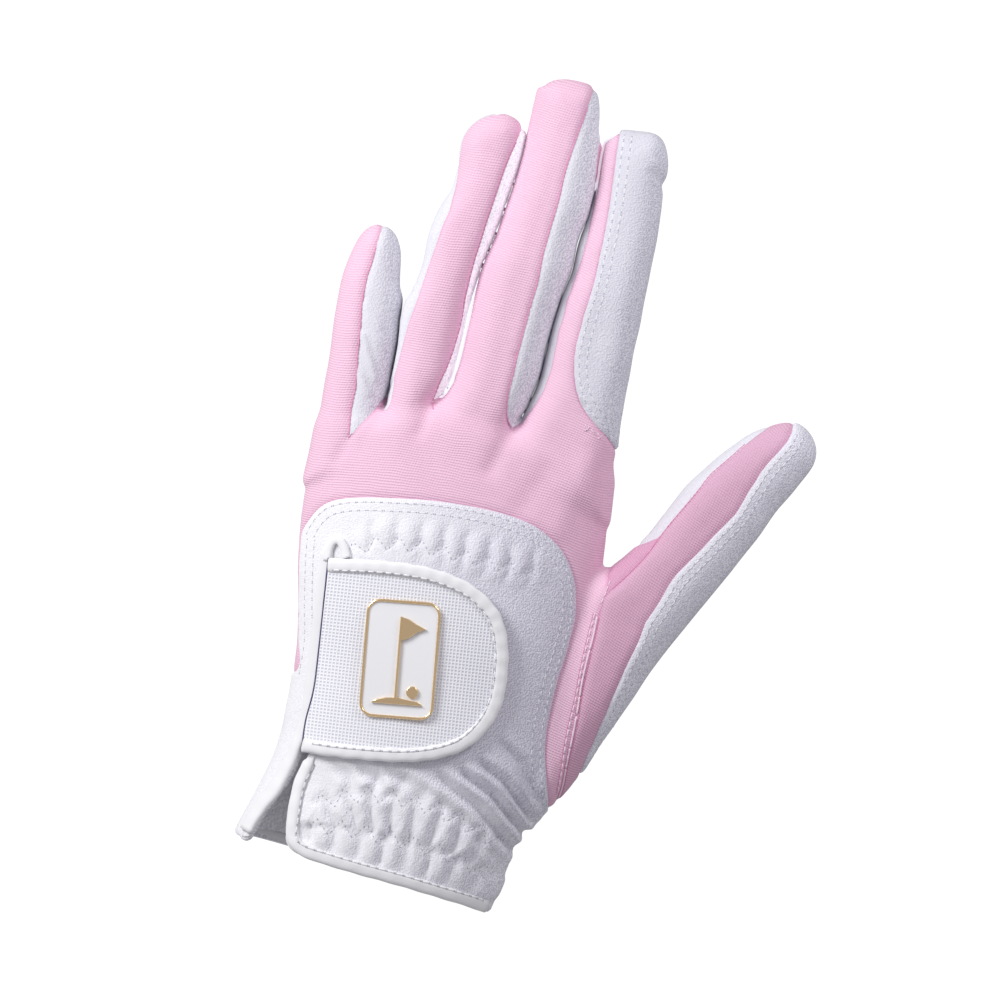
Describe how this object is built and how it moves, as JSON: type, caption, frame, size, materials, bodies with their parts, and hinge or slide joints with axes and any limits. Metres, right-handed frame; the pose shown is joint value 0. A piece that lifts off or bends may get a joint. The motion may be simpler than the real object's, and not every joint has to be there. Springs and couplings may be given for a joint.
{
  "type": "golf glove",
  "caption": "Left-hand golf glove in its worn shape: ribbed knit back, suede wrist panel with slit, mesh peel-back closure tab, leather palm, jointed fingers and thumb.",
  "frame": {"origin": "middle of the flat of the palm that the glove rests on", "axes": "+Y from cuff to fingertips, +X towards the thumb, +Z out of the back of the hand"},
  "size_m": [0.1171, 0.1928, 0.0344],
  "materials": {
    "knit_pink": "fine ribbed stretch knit",
    "suede_white": "brushed microfibre suede",
    "leather_white": "fine grain synthetic leather",
    "binding_white": "smooth folded tape",
    "mesh_white": "open square mesh over white backing",
    "loop_white": "brushed loop pile",
    "hook_white": "rows of nylon hooks",
    "elastic_white": "woven elastic tape",
    "badge_white": "satin moulded plate",
    "badge_gold": "polished gold plating"
  },
  "bodies": {
    "hand": {"back_panel": "knit_pink", "palm_panel": "leather_white", "wrist_panel": "suede_white", "slit_binding": "binding_white", "cuff_binding": "binding_white", "loop_patch": "loop_white", "upper_elastic": "elastic_white", "wrist_elastic": "elastic_white"},
    "closure_tab": {"tab_backing": "binding_white", "hook_patch": "hook_white", "tab_panel": "mesh_white", "tab_binding": "binding_white", "badge_plate": "badge_white", "badge_frame": "badge_gold", "badge_emblem": "badge_gold"},
    "index_base": {"index_base_back": "knit_pink", "index_base_overlay": "suede_white", "index_base_palm": "leather_white", "index_base_fourchette_ulnar": "suede_white"},
    "index_tip": {"index_tip_back": "knit_pink", "index_tip_overlay": "suede_white", "index_tip_palm": "leather_white", "index_tip_fourchette_ulnar": "suede_white"},
    "middle_base": {"middle_base_back": "knit_pink", "middle_base_fourchette_radial": "suede_white", "middle_base_palm": "leather_white", "middle_base_fourchette_ulnar": "suede_white"},
    "middle_tip": {"middle_tip_back": "knit_pink", "middle_tip_fourchette_radial": "suede_white", "middle_tip_palm": "leather_white", "middle_tip_fourchette_ulnar": "suede_white"},
    "ring_base": {"ring_base_back": "knit_pink", "ring_base_fourchette_radial": "suede_white", "ring_base_palm": "leather_white", "ring_base_fourchette_ulnar": "suede_white"},
    "ring_tip": {"ring_tip_back": "knit_pink", "ring_tip_fourchette_radial": "suede_white", "ring_tip_palm": "leather_white", "ring_tip_fourchette_ulnar": "suede_white"},
    "little_base": {"little_base_back": "knit_pink", "little_base_fourchette_radial": "suede_white", "little_base_palm": "leather_white"},
    "little_tip": {"little_tip_back": "knit_pink", "little_tip_fourchette_radial": "suede_white", "little_tip_palm": "leather_white"},
    "thumb_base": {"thumb_base_back": "knit_pink", "thumb_base_overlay": "suede_white", "thumb_base_palm": "leather_white", "thumb_gusset": "knit_pink"},
    "thumb_tip": {"thumb_tip_back": "knit_pink", "thumb_tip_overlay": "suede_white", "thumb_tip_palm": "leather_white"}
  },
  "joints": [
    {"name": "tab_peel", "type": "hinge", "parent": "hand", "child": "closure_tab", "pos_m": [-0.0258, -0.0095, 0.027], "axis": [0.0621, -0.9981, 0], "range_deg": [0, 135]},
    {"name": "index_knuckle", "type": "hinge", "parent": "hand", "child": "index_base", "pos_m": [0.0201, 0.057, 0.00895], "axis": [-1, 0, 0], "range_deg": [-10, 75]},
    {"name": "index_middle_joint", "type": "hinge", "parent": "index_base", "child": "index_tip", "pos_m": [0.0209, 0.088, 0.0075], "axis": [-1, 0, 0], "range_deg": [0, 90]},
    {"name": "middle_knuckle", "type": "hinge", "parent": "hand", "child": "middle_base", "pos_m": [-0.0011, 0.057, 0.00945], "axis": [-1, 0, 0], "range_deg": [-10, 75]},
    {"name": "middle_middle_joint", "type": "hinge", "parent": "middle_base", "child": "middle_tip", "pos_m": [0.0009, 0.092, 0.00781], "axis": [-1, 0, 0], "range_deg": [0, 90]},
    {"name": "ring_knuckle", "type": "hinge", "parent": "hand", "child": "ring_base", "pos_m": [-0.0174, 0.057, 0.00895], "axis": [-1, 0, 0], "range_deg": [-10, 75]},
    {"name": "ring_middle_joint", "type": "hinge", "parent": "ring_base", "child": "ring_tip", "pos_m": [-0.0165, 0.086, 0.0075], "axis": [-1, 0, 0], "range_deg": [0, 90]},
    {"name": "little_knuckle", "type": "hinge", "parent": "hand", "child": "little_base", "pos_m": [-0.0323, 0.047, 0.0079], "axis": [-1, 0, 0], "range_deg": [-10, 75]},
    {"name": "little_middle_joint", "type": "hinge", "parent": "little_base", "child": "little_tip", "pos_m": [-0.0332, 0.066, 0.0067], "axis": [-1, 0, 0], "range_deg": [0, 90]},
    {"name": "thumb_swing", "type": "hinge", "parent": "hand", "child": "thumb_base", "pos_m": [0.0356, 0, 0.019], "axis": [0, 1, 0], "range_deg": [-10, 40]},
    {"name": "thumb_bend", "type": "hinge", "parent": "thumb_base", "child": "thumb_tip", "pos_m": [0.05804, 0.04358, 0.0103], "axis": [-0.891, 0.454, 0], "range_deg": [0, 60]}
  ]
}
